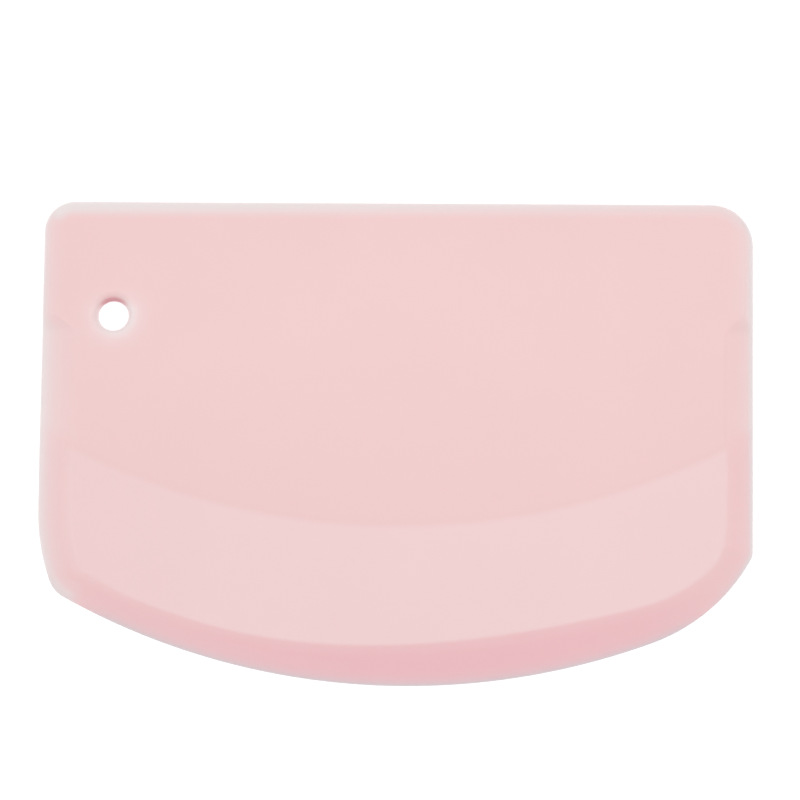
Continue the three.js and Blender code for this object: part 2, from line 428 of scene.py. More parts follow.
def paint(piece: Piece, tint: Tint, shares: list[float]) -> None:
    """Writes the share of a tint on each point of a piece, in the order of its mesh."""
    layer = piece.data.attributes.new(tint.value, "FLOAT", "POINT")
    layer.data.foreach_set("value", shares)


def apply_modifier(piece: Piece, kind: str, **settings: object) -> None:
    """Adds a modifier to a piece, sets it and applies it.

    Args:
        piece: Object that gets the modifier.
        kind: Blender's name for the type of modifier.
        settings: Values of the modifier's properties.
    """
    select_only(piece)
    bpy.ops.object.modifier_add(type=kind)
    modifier = piece.modifiers[-1]
    for name, value in settings.items():
        setattr(modifier, name, value)
    bpy.ops.object.modifier_apply(modifier=modifier.name)


def cut(piece: Piece, cutter: Piece) -> None:
    """Cuts a closed solid, the cutter, out of a piece and removes it."""
    apply_modifier(piece, "BOOLEAN", operation="DIFFERENCE", solver="EXACT", object=cutter)
    bpy.data.objects.remove(cutter)


@dataclass(frozen=True)
class RoundHole:
    """A round hole with a soft rim, up to the front face or to its end inside the jacket."""

    name: str
    wall: Circle
    top: float
    rim_radius: float
    opening: Opening
    rim_steps: int = 14
    sides: int = 96
    guard: float = 1.2
    guard_steps: int = 3
    shade_reach: float = 0.48
    shade_facing: Range = (0.4, 1.0)

    def profile(self) -> list[Vector]:
        """Half section of the lining, from the back face inwards, through a waist if it goes on.

        Returns:
            Points as radius and height.
        """
        ends_inside = self.opening is Opening.FROM_BACK
        rise = self.rim_radius if ends_inside else self.top / 2
        rim = []
        for step in range(self.rim_steps + 1):
            lean = QUARTER_TURN * step / self.rim_steps
            out = self.wall.radius + self.rim_radius * (1 - math.sin(lean))
            rim.append(Vector((out, rise * (1 - math.cos(lean)))))
        steps = range(self.guard_steps, 0, -1)
        guard = [Vector((rim[0].x + self.guard * step / self.guard_steps, 0.0)) for step in steps]
        lower = [*guard, *rim]
        if ends_inside:
            return [*lower, Vector((self.wall.radius, self.top))]
        return [*lower, *(Vector((point.x, self.top - point.y)) for point in reversed(lower[:-1]))]

    @property
    def angles(self) -> list[float]:
        """Directions of the points of a ring, from the hole's middle."""
        return [FULL_TURN * side / self.sides for side in range(self.sides)]

    def ring(self, point: Vector) -> list[Vector]:
        """Ring of places round the hole, for a point of its half section."""
        x, y = self.wall.x, self.wall.y
        return [
            Vector((x + point.x * math.cos(angle), y + point.x * math.sin(angle), point.y))
            for angle in self.angles
        ]

    def shade(self, out: float, angle: float) -> float:
        """Share of shade at a distance out from the wall, which lies dark towards the grip edge."""
        towards_grip = smoothstep(math.sin(angle), *self.shade_facing)
        return towards_grip * smoothstep(-out, -self.shade_reach * self.rim_radius, 0.0)

    def lining(self) -> Piece:
        """Models the hole's lining, open at the faces that it goes through.

        Returns:
            The lining, marked with its shade.
        """
        profile = self.profile()
        model = RingModel(self.name, self.ring(profile[0]))
        for point in profile[1:]:
            model.extrude(self.ring(point))
        if self.opening is Opening.FROM_BACK:
            model.cap()
        piece = model.finish()
        out = [point.x - self.wall.radius for point in profile]
        shades = [self.shade(distance, angle) for distance in out for angle in self.angles]
        paint(piece, Tint.HOLE_SHADE, shades)
        return piece


@dataclass(frozen=True)
class Mottle:
    """An uneven pattern: the size of its patches, its octaves of finer ones and how strong those are."""

    patch: float
    detail: float
    roughness: float


class NodeBoard:
    """The node tree of a material or world, filled node by node."""

    def __init__(self, tree: bpy.types.NodeTree) -> None:
        """Takes a tree to fill and clears it."""
        self.tree = tree
        self.tree.nodes.clear()

    def add(self, kind: str, settings: dict | None = None, **inputs: object) -> bpy.types.Node:
        """Adds a node, sets its properties and fills or links its inputs.

        Args:
            kind: Blender's type name of the node, without the ShaderNode in front.
            settings: Values of the node's own properties.
            inputs: Value or output socket for each input, by its name with _ for a space, or by
                its place as i0, i1 and so on.

        Returns:
            The new node.
        """
        node = self.tree.nodes.new("ShaderNode" + kind)
        for name, value in (settings or {}).items():
            setattr(node, name, value)
        for name, value in inputs.items():
            by_place = name[0] == "i" and name[1:].isdigit()
            socket = node.inputs[int(name[1:]) if by_place else name.replace("_", " ")]
            if isinstance(value, Socket):
                self.tree.links.new(value, socket)
            else:
                socket.default_value = value
        return node

    def place(self) -> Socket:
        """Place on the piece, in metres."""
        return self.add("TexCoord").outputs["Object"]

    def axis(self, vector: Socket, axis: str) -> Socket:
        """One of the X, Y and Z of a vector."""
        return self.add("SeparateXYZ", i0=vector).outputs[axis]

    def math(self, operation: str, first: object, second: object) -> Socket:
        """Output of a Math node with two inputs."""
        return self.add("Math", {"operation": operation}, i0=first, i1=second).outputs[0]

    def vector(self, operation: str, output: str, **inputs: object) -> Socket:
        """Output of a Vector Math node, the Vector or the Value."""
        return self.add("VectorMath", {"operation": operation}, **inputs).outputs[output]

    def offset(self, place: Socket, circle: Circle) -> Socket:
        """Vector in the plan from a circle's centre to a place, in metres."""
        flat = self.vector("MULTIPLY", "Vector", i0=place, i1=(1.0, 1.0, 0.0))
        return self.vector("SUBTRACT", "Vector", i0=flat, i1=(circle.x * MM, circle.y * MM, 0.0))

    def mix(self, share: object, first: object, second: object) -> Socket:
        """Output of a Mix node between two colours."""
        return self.add("Mix", {"data_type": "RGBA"}, i0=share, i6=first, i7=second).outputs[2]

    def span(self, value: object, source: Range, target: Range) -> Socket:
        """Output of a Map Range node from a source to a target range, clamped."""
        limits = {f"i{index}": limit for index, limit in enumerate((*source, *target), start=1)}
        return self.add("MapRange", {"clamp": True}, i0=value, **limits).outputs[0]

    def noise(self, place: Socket, mottle: Mottle) -> Socket:
        """Noise in the patches of a pattern, at a place in metres."""
        sizes = {"Scale": 1 / (mottle.patch * MM), "Detail": mottle.detail, "Roughness": mottle.roughness}
        return self.add("TexNoise", Vector=place, **sizes).outputs["Fac"]

    def bump(self, height: Socket) -> Socket:
        """Normal of a surface with a fine height, in metres."""
        return self.add("Bump", Strength=1.0, Distance=1.0, Height=height).outputs[0]

    def surface(self, settings: dict | None = None, **inputs: object) -> None:
        """Adds the Principled shader of a material, as add does, and links it to the output."""
        shader = self.add("BsdfPrincipled", settings, **inputs)
        self.add("OutputMaterial", Surface=shader.outputs[0])


def new_material(name: str) -> tuple[bpy.types.Material, NodeBoard]:
    """A material with an empty node tree.

    Args:
        name: Name of the material.

    Returns:
        The material and the board to fill its nodes with.
    """
    material = bpy.data.materials.new(name)
    material.use_nodes = True
    return material, NodeBoard(material.node_tree)


def with_alpha(colour: Colour) -> tuple[float, float, float, float]:
    """Opaque colour for a colour socket."""
    return (*colour, 1.0)


@dataclass(frozen=True)
class SiliconeFinish:
    """Pale pink silicone: softly glossy, paler over the coreless lip, partly thinner silicone and partly
    painted light, with painted light at its rims and round the hang hole, and painted shade that makes it
    deeper on the thin bevel of the lip, along the lip's edge and in the hang hole's wall."""

    body: Colour = (0.85, 0.591, 0.592)
    # Paler coreless lip, partly thinner silicone and partly painted light
    lip: Colour = (0.877, 0.645, 0.652)
    # Painted shade on the lip's bevel
    bevel_shade: Colour = (0.842, 0.508, 0.54)
    # Painted light at the rims
    pale: Colour = (0.8, 0.8, 0.795)
    # Painted shade along the lip's edge and the right side
    edge: Colour = (0.66, 0.57, 0.6)
    # Painted light round the hang hole
    painted_halo: Colour = (0.87, 0.8, 0.795)
    # Painted shade in the hang hole's wall towards the grip edge
    shaded: Colour = (0.68, 0.29, 0.335)
    crease_change: Range = (-0.3, 1.1)
    lip_fade: Range = (-66.0, -35.0)
    lip_fade_share: float = 0.6
    # How the painted light round the hang hole spreads and fades
    halo: Range = (0.7, 1.95)
    halo_depth: float = 1.25
    halo_way: float = math.radians(-35.0)
    halo_facing_grip: Range = (0.3, 1.0)
    halo_above: float = 0.15
    halo_most: float = 0.9
    halo_height: Range = (1.8, 3.4)
    patches: Mottle = Mottle(30.0, 2.0, 0.5)
    patch_shade: Range = (0.985, 1.015)
    ripples: Mottle = Mottle(16.0, 1.0, 0.4)
    ripple_height: float = 0.01
    roughness: Range = (0.25, 0.37)
    grain: Mottle = Mottle(0.25, 1.0, 0.5)
    grain_height: float = 0.0008
    refraction: float = 1.41
    scatter: float = 0.2
    scatter_depth: float = 0.7
    scatter_reach: Colour = (1.0, 0.8, 0.78)

    def lip_share(self, board: NodeBoard, place: Socket, crease: Circle, bevel: Socket) -> Socket:
        """Share of the coreless lip's paler colour, which is partly painted light: past the crease,
        inside the bevel, less near the toe.

        Args:
            board: Nodes of the material.
            place: Place on the piece, in metres.
            crease: Circle of the crease, in millimetres.
            bevel: Share of the bevel.

        Returns:
            The share, from 0 to 1.
        """
        reach = board.vector("LENGTH", "Value", i0=board.offset(place, crease))
        change = tuple((crease.radius + past) * MM for past in self.crease_change)
        past_crease = board.span(reach, change, WHOLE)
        along = board.axis(place, "X")
        fade = board.span(along, tuple(x * MM for x in self.lip_fade), (self.lip_fade_share, 1.0))
        inside_bevel = board.math("MULTIPLY", fade, board.math("SUBTRACT", 1.0, bevel))
        return board.math("MULTIPLY", past_crease, inside_bevel)

    def painted_halo_share(self, board: NodeBoard, place: Socket, hole: Circle) -> Socket:
        """Share of painted light round a hole, strongest at its rim and weak towards the grip edge.

        Args:
            board: Nodes of the material.
            place: Place on the piece, in metres.
            hole: Wall of the hole, in millimetres.

        Returns:
            The share, from 0 to 1.
        """
        offset = board.offset(place, hole)
        way = board.vector("NORMALIZE", "Vector", i0=offset)
        brightest = (math.cos(self.halo_way), math.sin(self.halo_way), 0.0)
        facing = board.vector("DOT_PRODUCT", "Value", i0=way, i1=brightest)
        reach = board.vector("LENGTH", "Value", i0=offset)
        out = board.math("SUBTRACT", hole.radius * MM, reach)
        fade = board.math("POWER", math.e, board.math("DIVIDE", out, self.halo_depth * MM))
        share = board.math("MULTIPLY", fade, board.span(facing, (-1.0, 1.0), self.halo))
        above = board.span(board.axis(way, "Y"), self.halo_facing_grip, (1.0, self.halo_above))
        share = board.math("MULTIPLY", share, above)
        heights = tuple(z * MM for z in self.halo_height)
        most = board.span(board.axis(place, "Z"), heights, (0.0, self.halo_most))
        return board.math("MINIMUM", share, most)

    def material(self, crease: Circle, hole: Circle) -> bpy.types.Material:
        """Builds the silicone for a card.

        Args:
            crease: Circle of the crease, in millimetres. Past it there is no core behind the skin.
            hole: Wall of the hang hole, in millimetres.

        Returns:
            The finished material.
        """
        material, board = new_material("pink_silicone")
        place = board.place()
        tints = {}
        for tint in Tint:
            tints[tint] = board.add("Attribute", {"attribute_name": tint.value}).outputs["Fac"]
        # Over the body's colour come the paler lip, partly painted light, then painted shade on the bevel
        # and the lip's edge, painted light at the rims and round the hang hole, and painted shade in the
        # hang hole's wall
        layers = (
            (self.lip_share(board, place, crease, tints[Tint.BEVEL]), self.lip),
            (tints[Tint.PAINTED_BEVEL_SHADE], self.bevel_shade),
            (tints[Tint.PAINTED_EDGE_SHADE], self.edge),
            (tints[Tint.PAINTED_RIM_LIGHT], self.pale),
            (self.painted_halo_share(board, place, hole), self.painted_halo),
            (tints[Tint.HOLE_SHADE], self.shaded),
        )
        colour: object = with_alpha(self.body)
        for share, layer in layers:
            colour = board.mix(share, colour, with_alpha(layer))
        shade = board.span(board.noise(place, self.patches), WHOLE, self.patch_shade)
        sheen = board.noise(place, self.ripples)
        ripples = board.math("MULTIPLY", sheen, self.ripple_height * MM)
        grains = board.math("MULTIPLY", board.noise(place, self.grain), self.grain_height * MM)
        board.surface(
            {"subsurface_method": "RANDOM_WALK"},
            Base_Color=board.vector("SCALE", "Vector", i0=colour, Scale=shade),
            Roughness=board.span(sheen, WHOLE, self.roughness),
            Normal=board.bump(board.math("ADD", ripples, grains)),
            IOR=self.refraction,
            Subsurface_Weight=self.scatter,
            Subsurface_Radius=self.scatter_reach,
            Subsurface_Scale=self.scatter_depth * MM,
        )
        return material


@dataclass(frozen=True)
class NylonFinish:
    """Natural nylon of the core plate: matt, warm white, with faint flow marks from its mould."""

    pale: Colour = (0.82, 0.78, 0.69)
    warm: Colour = (0.74, 0.69, 0.58)
    flow_marks: Mottle = Mottle(14.0, 5.0, 0.6)
    flow_range: Range = (0.3, 0.7)
    roughness: Range = (0.5, 0.65)
    grain: Mottle = Mottle(0.35, 2.0, 0.5)
    grain_height: float = 0.01
    refraction: float = 1.53

    def material(self) -> bpy.types.Material:
        """Builds the nylon.

        Returns:
            The finished material.
        """
        material, board = new_material("natural_nylon")
        place = board.place()
        marks = board.noise(place, self.flow_marks)
        grains = board.math("MULTIPLY", board.noise(place, self.grain), self.grain_height * MM)
        board.surface(
            Base_Color=board.mix(marks, with_alpha(self.pale), with_alpha(self.warm)),
            Roughness=board.span(marks, self.flow_range, self.roughness),
            Normal=board.bump(grains),
            IOR=self.refraction,
        )
        return material


@dataclass(frozen=True)
class FloorFinish:
    """White light table of the floor: it glows, so that hardly a shadow is left on it."""

    bright: Colour = (0.25, 0.25, 0.25)
    dull: Colour = (0.24, 0.24, 0.24)
    patches: Mottle = Mottle(60.0, 2.0, 0.5)
    roughness: float = 0.9
    glow: float = 0.88

    def material(self) -> bpy.types.Material:
        """Builds the floor's white.

        Returns:
            The finished material.
        """
        material, board = new_material("light_table")
        patches = board.noise(board.place(), self.patches)
        board.surface(
            Base_Color=board.mix(patches, with_alpha(self.dull), with_alpha(self.bright)),
            Roughness=self.roughness,
            Specular_IOR_Level=0.0,
            Emission_Color=with_alpha(WHITE),
            Emission_Strength=self.glow,
        )
        return material


@dataclass(frozen=True)
class Section:
    """The jacket's skin at one station, as points from the back, round the edge, to the body face.

    Its flash, front_edge and bevel_turn are places among these points: where the flash line starts,
    the front edge as far as the middle of its rounding, and the turn at the bevel line.
    """

    station: Station
    points: list[Vector]
    flash: int
    front_edge: range
    bevel_turn: range
    across: float
    bevel_share: float
    past_crease: list[float]

    @property
    def inset(self) -> list[float]:
        """Distance of each point in from the outline."""
        outline, inward = self.station.point, self.station.inward
        return [max(0.0, (point.to_2d() - outline).dot(inward)) for point in self.points]

    def leaning(self, index: int) -> float:
        """How far a point has left the upright wall: 0 up to it, 1 from the middle of the front edge."""
        return smoothstep(index, self.front_edge.start, self.front_edge.stop)


@dataclass(frozen=True)
class SkinTints:
    """How the silicone's tints lie along the sections of the jacket's skin: the bevel's share, and
    painted light and shade.

    A range that ends in across is in shares of the card's width, from the left. One that ends in
    facing is in shares of the outline's inward direction. Other pairs of glows are for left and
    right, apart from toe_glow_depth, between whose ends the toe's glow fades.
    """

    # Bevel, and the painted shade on it
    toe_across: Range = (0.03, 0.2)
    toe_softness: float = 0.8
    crease_change: Range = (-2.5, 0.1)
    bevel_shade_from: float = 0.55
    bevel_shade_past_line: float = 0.67
    side_bevel_shade: float = 0.25
    toe_bevel_shade: float = 0.65
    toe_bevel_shade_across: Range = (0.0, 0.5)
    toe_corner_bevel_shade: float = 0.65
    toe_corner_across: Range = (0.03, 0.09)

    # Painted light at the rims
    edge_facing: Range = (0.3, 0.8)
    glow_depth: float = 1.2
    bevel_glow_depth: Range = (2.4, 0.9)
    thin_glow_depth: Range = (1.8, 0.6)
    rim_glow: float = 0.78
    wall_glow: float = 0.3
    lip_glow: float = 0.1
    grip_glow: Range = (0.72, 0.5)
    grip_glow_start: Range = (1.2, 0.0)
    grip_glow_end: Range = (4.0, 3.4)
    toe_glow: float = 0.5
    toe_glow_depth: Range = (0.9, 2.9)
    toe_glow_facing: Range = (0.25, 0.6)
    toe_glow_across: Range = (0.035, 0.065)

    # Painted shade along the edge of the lip and of the right side
    lip_edge_depth: float = 0.8
    lip_edge_start_across: Range = (0.045, 0.115)
    lip_edge_stop_across: Range = (0.89, 0.95)
    side_edge_depth: float = 0.45
    side_edge_facing: Range = (0.5, 0.9)

    def past_crease(self, section: Section) -> list[float]:
        """Share of each point that lies past the crease, where the silicone is thin."""
        return [smoothstep(past, *self.crease_change) for past in section.past_crease]

    def on_toe_corner(self, section: Section) -> float:
        """Share of a section that lies at the tight corner of the toe."""
        facing = smoothstep(section.station.inward.y, *self.toe_glow_facing)
        return facing * smoothfall(section.across, *self.toe_glow_across)

    def bevel(self, section: Section) -> list[float]:
        """Share of the bevel along a section, which ends crisply, and softly on the toe.

        Args:
            section: Skin at one station.

        Returns:
            Share for each point.
        """
        inset, turn = section.inset, section.bevel_turn
        soft_end = (self.toe_softness * inset[turn.start], inset[turn.stop])
        on_toe = smoothfall(section.across, *self.toe_across)
        shares = []
        for index, distance in enumerate(inset):
            crisp = smoothstep(turn.stop - index, 0, len(turn) + 1)
            soft = smoothfall(distance, *soft_end)
            shares.append(section.bevel_share * lerp(crisp, soft, on_toe))
        return shares

    def bevel_shade(self, section: Section) -> list[float]:
        """Share of the deeper colour along a section, a painted shade on the bevel, strongest at the lip.

        Args:
            section: Skin at one station.

        Returns:
            Share for each point.
        """
        across, flash, bevel_line = section.across, section.flash, section.bevel_turn.start
        towards_lip = (section.station.inward.y - self.bevel_shade_from) / (1 - self.bevel_shade_from)
        towards_lip *= lerp(self.toe_corner_bevel_shade, 1.0, smoothstep(across, *self.toe_corner_across))
        most = lerp(self.toe_bevel_shade, 1.0, smoothstep(across, *self.toe_bevel_shade_across))
        onset = [0.0] * flash + [1.0] * (bevel_line - flash)
        onset += [self.bevel_shade_past_line] * (len(section.points) - bevel_line)
        parts = zip(self.bevel(section), self.past_crease(section), onset)
        return [bevel * most * max(self.side_bevel_shade * past, towards_lip) * on for bevel, past, on in parts]

    def pale(self, section: Section) -> list[float]:
        """Share of the pale colour along a section, a painted light at its rim.

        Args:
            section: Skin at one station.

        Returns:
            Share for each point.
        """
        across, inward = section.across, section.station.inward
        thick = lerp(self.glow_depth, lerp(*self.bevel_glow_depth, across), section.bevel_share)
        thin = lerp(*self.thin_glow_depth, across)
        glow = lerp(self.rim_glow, self.lip_glow, smoothstep(inward.y, *self.edge_facing))
        on_grip = smoothstep(-inward.y, *self.edge_facing)
        grip_glow = lerp(*self.grip_glow, across)
        grip_band = (lerp(*self.grip_glow_start, across), lerp(*self.grip_glow_end, across))
        on_toe = self.on_toe_corner(section)
        shares = []
        for index, (distance, past) in enumerate(zip(section.inset, self.past_crease(section))):
            rim = glow * math.exp(-distance / lerp(thick, thin, past))
            grip = grip_glow * smoothfall(distance, *grip_band)
            toe = self.toe_glow * smoothfall(distance, *self.toe_glow_depth)
            wall = lerp(self.wall_glow, 1.0, section.leaning(index))
            shares.append(lerp(lerp(rim, grip, on_grip), toe, on_toe) * wall)
        return shares

    def edge(self, section: Section) -> list[float]:
        """Share of the painted edge shade along a section, on the lip, the toe and the right side.

        Args:
            section: Skin at one station.

        Returns:
            Share for each point.
        """
        across, inward = section.across, section.station.inward
        on_lip = smoothstep(inward.y, *self.edge_facing)
        on_lip *= smoothstep(across, *self.lip_edge_start_across)
        on_lip *= smoothfall(across, *self.lip_edge_stop_across)
        on_side = max(self.on_toe_corner(section), smoothstep(-inward.x, *self.side_edge_facing))
        shares = []
        for index, distance in enumerate(section.inset):
            lip = on_lip * math.exp(-distance / self.lip_edge_depth)
            side = on_side * section.leaning(index) * math.exp(-distance / self.side_edge_depth)
            shares.append(max(lip, side))
        return shares

    def shares(self, section: Section) -> dict[Tint, list[float]]:
        """Shares of the tints along a section.

        Args:
            section: Skin at one station.

        Returns:
            Share for each point, for each tint. The rims' tints end before the flat faces.
        """
        pale, edge = self.pale(section), self.edge(section)
        pale[0] = pale[-1] = edge[0] = edge[-1] = 0.0
        return {
            Tint.BEVEL: self.bevel(section),
            Tint.PAINTED_BEVEL_SHADE: self.bevel_shade(section),
            Tint.PAINTED_RIM_LIGHT: pale,
            Tint.PAINTED_EDGE_SHADE: edge,
        }


@dataclass
class Jacket:
    """The silicone jacket: flat grip body, crease, thinning lip, bevelled rim and hang hole."""

    outline: CardOutline
    thickness: float

    # Crease and lip
    crease_radius: float = 146.2
    crease_to_lip: float = 32.2
    crease_softness: float = 0.9
    crease_blend: float = 4.0
    lip_thickness: float = 2.2
    lip_edge_thickness: float = 0.7

    # Bevel
    lip_bevel_width: float = 8.75
    lip_bevel_peak_x: float = 25.0
    left_bevel_width: float = 6.6
    toe_bevel_width: float = 5.9
    toe_bevel_across: Range = (0.03, 0.12)
    toe_bevel_fade: float = 3.2
    right_bevel_width: float = 5.4
    heel_bevel_fade: float = 0.85
    heel_bevel_delay: float = 4.0
    heel_corner_bevel: float = 0.6
    heel_corner_reach: float = 6.0
    bevel_softness: float = 0.5
    bevel_start: float = 23.4
    bevel_runout: float = 4.0

    # Edge and the rings of the skin
    front_edge_radius: float = 2.0
    front_edge_steps: int = 10
    back_edge_radius: float = 0.6
    back_edge_steps: int = 5
    wall_share: float = 0.45
    flash_height: float = 0.05
    flash_width: float = 0.24
    guard: float = 0.8
    face_margin: float = 1.0
    face_steps: tuple[float, float, float, float] = (0.008, 0.014, 0.022, 0.029)
    bevel_rings: tuple[float, float, float, float] = (0.06, 0.16, 0.32, 0.7)
    turn_share: float = 0.4
    turn_steps: int = 6
    smooth_angle: float = math.radians(35.0)

    # Hang hole, pin holes and the space for the core
    hang_hole_diameter: float = 6.2
    hang_hole_from_side: float = 14.5
    hang_hole_from_grip_edge: float = 23.75
    hang_hole_rim: float = 1.7
    pin_hole_diameter: float = 3.0
    pin_hole_rim: float = 0.3
    pin_hole_rim_steps: int = 5
    pin_hole_x: float = 30.0
    pin_rows_from_core: tuple[float, ...] = (12.0, 32.0)
    core_clearance: float = 0.2

    tints: SkinTints = SkinTints()
    finish: SiliconeFinish = SiliconeFinish()

    NODE = "silicone_jacket"
    NAME = "jacket_skin"
    SLOT = "pink_silicone"

    @property
    def crease(self) -> Circle:
        """Circle of the crease, where the flat body ends and the lip begins."""
        y = self.crease_radius + self.crease_to_lip - self.outline.grip_y
        return Circle(0.0, y, self.crease_radius)

    @property
    def hang_hole(self) -> Circle:
        """Wall of the hang hole, in the plan."""
        x = self.hang_hole_from_side - self.outline.side_x
        return Circle(x, self.outline.grip_y - self.hang_hole_from_grip_edge, self.hang_hole_diameter / 2)

    @property
    def body_middle(self) -> Vector:
        """Middle of the flat body, in the plan."""
        return Vector((0.0, (self.outline.grip_y + self.crease.y - self.crease_radius) / 2))

    @property
    def taper(self) -> float:
        """How much the lip thins for each millimetre past the crease."""
        return (self.thickness - self.lip_thickness) / (self.crease_to_lip - self.lip_bevel_width)

    def past_crease(self, plan: Vector) -> float:
        """How far a point in the plan lies past the crease, towards the lip. Negative before it."""
        return (plan - self.crease.centre).length - self.crease_radius

    def bevel_share(self, y: float) -> float:
        """How much of the bevel the edge has: none above its start, all of it below the run-out."""
        start = self.outline.grip_y - self.bevel_start
        return smoothfall(y, start - self.bevel_runout, start)

    def bevel_width(self, plan: Vector) -> float:
        """Width of the bevel, widest at its peak on the lip.

        Args:
            plan: Point of the outline.

        Returns:
            The width there.
        """
        side = self.outline.side_x - self.heel_bevel_delay
        width, fade = self.right_bevel_width, self.heel_bevel_fade
        if plan.x < self.lip_bevel_peak_x:
            side, fade = -self.outline.side_x, self.toe_bevel_fade
            on_lip = smoothstep(self.outline.across(plan), *self.toe_bevel_across)
            width = lerp(self.left_bevel_width, self.toe_bevel_width, on_lip)
        away = min(1.0, (plan.x - self.lip_bevel_peak_x) / (side - self.lip_bevel_peak_x))
        width = lerp(width, self.lip_bevel_width, math.cos(away * QUARTER_TURN) ** fade)
        from_corner = (plan - self.outline.corner(Corner.HEEL)).length
        return width + self.heel_corner_bevel * smoothfall(from_corner, 0.0, self.heel_corner_reach)

    def edge_points(self, station: Station, edge_z: float, slope: float) -> list[Vector]:
        """Points round the edge, from the back face to where the bevel starts.

        Args:
            station: Place on the outline.
            edge_z: Height at which the bevel would reach the outline.
            slope: Angle of the bevel.

        Returns:
            The back's rounding, the fine flash line of the mould and the front's rounding.
        """
        back = min(self.back_edge_radius, self.wall_share * edge_z)
        front = min(self.front_edge_radius, self.wall_share * edge_z)
        front_z = edge_z + front * math.tan(slope) - front / math.cos(slope)
        points = [station.at(back + self.guard, 0.0)]
        for turn in reversed(rounding(QUARTER_TURN, self.back_edge_steps)):
            points.append(station.at(back * turn.x, back * (1 - turn.y)))
        middle = (back + front_z) / 2
        half = min(self.flash_width, (front_z - back) / 2) / 2
        height = min(self.flash_height, half / 2)
        for out, rise in ((0.0, -half), (height, 0.0), (0.0, half)):
            points.append(station.at(-out, middle + rise))
        for turn in rounding(QUARTER_TURN - slope, self.front_edge_steps):
            points.append(station.at(front * turn.x, front_z + front * turn.y))
        return points

    def height(self, plan: Vector) -> float:
        """Height of the front face, with a soft turn at the crease.

        Args:
            plan: Point in the plan.

        Returns:
            The height above the back.
        """
        past, soft = self.past_crease(plan), self.crease_softness
        bend = (past + soft) ** 2 / (4 * soft) if abs(past) < soft else max(0.0, past)
        return self.thickness - self.taper * bend

    def lip_points(self, bevel_line: Vector) -> list[Vector]:
        """Points past the bevel line, over the lip to the flat body.

        Args:
            bevel_line: Point of the bevel line, in the plan.

        Returns:
            Where the lip's face starts, then the points of the turn at the crease and one on the
            flat body. Above the crease they all lie on the flat body.
        """
        first, near, far, guard = self.face_steps
        length = max(0.0, self.past_crease(bevel_line))
        out = (bevel_line - self.crease.centre).normalized()
        on_crease = bevel_line - out * length
        sloping = smoothstep(length, 0.0, self.crease_blend)
        most = self.turn_share * length
        lip_start = bevel_line.lerp(self.body_middle, first)
        lip_start = lip_start.lerp(bevel_line - out * min(self.bevel_softness, most), sloping)
        before = bevel_line.lerp(self.body_middle, near)
        before = before.lerp(on_crease + out * min(self.crease_softness, most), sloping)
        after = on_crease.lerp(self.body_middle, far)
        turn = [before.lerp(after, step / self.turn_steps) for step in range(self.turn_steps + 1)]
        plan = [lip_start, *turn, on_crease.lerp(self.body_middle, guard)]
        return [Vector((point.x, point.y, self.height(point))) for point in plan]

    def section(self, station: Station) -> Section:
        """Works out the skin at one station.

        Args:
            station: Place on the outline.

        Returns:
            The section, from the back, round the edge, to the body face.
        """
        share = self.bevel_share(station.point.y)
        plain_width = self.front_edge_radius + self.face_margin
        width = lerp(plain_width, self.bevel_width(station.point), share)
        bevel_line = station.inset(width)
        bevel_line_z = self.height(bevel_line)
        drop = (self.lip_thickness - self.lip_edge_thickness) * share
        slope = math.atan2(drop, width)
        edge = self.edge_points(station, bevel_line_z - drop, slope)
        soft = min(self.bevel_softness, self.turn_share * (width - self.front_edge_radius))
        lip_start, *rest = self.lip_points(bevel_line)
        turn = soft_turn(
            station.at(width - soft, bevel_line_z - soft * math.tan(slope)),
            station.at(width, bevel_line_z),
            lip_start,
            self.turn_steps,
        )
        bevel = [edge[-1].lerp(turn[0], part) for part in self.bevel_rings]
        points = [*edge, *bevel, *turn, *rest]
        # The flash line comes after a guard point and the back's rounding, and before the front's
        flash = 1 + self.back_edge_steps + 1
        front_edge = len(edge) - self.front_edge_steps - 1
        bevel_turn = len(edge) + len(bevel)
        return Section(
            station,
            points,
            flash=flash,
            front_edge=range(front_edge, front_edge + self.front_edge_steps // 2),
            bevel_turn=range(bevel_turn, bevel_turn + self.turn_steps),
            across=self.outline.across(station.point),
            bevel_share=share,
            past_crease=[self.past_crease(point.to_2d()) for point in points],
        )

    def skin(self) -> Piece:
        """Models the skin round the edge, ring by ring, open at the back and body faces.

        Returns:
            The skin, marked with its tints.
        """
        sections = [self.section(station) for station in self.outline.stations()]
        rings = list(zip(*(section.points for section in sections), strict=True))
        model = RingModel(self.NAME, list(rings[0]))
        for ring in rings[1:]:
            model.extrude(list(ring))
        piece = model.finish()
        shares = [self.tints.shares(section) for section in sections]
        for tint in shares[0]:
            paint(piece, tint, [share[tint][level] for level in range(len(rings)) for share in shares])
        return piece

    def fill_faces(self, piece: Piece) -> None:
        """Fills the flat back and body faces between the skin and the linings of the holes.

        Args:
            piece: Skin and linings, joined.
        """
        bpy.ops.object.mode_set(mode="EDIT")
        bpy.ops.mesh.select_mode(type="EDGE")
        for height in (0.0, self.thickness * MM):
            bpy.ops.mesh.select_all(action="DESELECT")
            shape = bmesh.from_edit_mesh(piece.data)
            for edge in shape.edges:
                level = all(abs(point.co.z - height) < SAME_PLACE for point in edge.verts)
                edge.select_set(edge.is_boundary and level)
            bmesh.update_edit_mesh(piece.data)
            bpy.ops.mesh.fill()
        bpy.ops.mesh.select_all(action="SELECT")
        bpy.ops.mesh.normals_make_consistent(inside=False)
        bpy.ops.object.mode_set(mode="OBJECT")

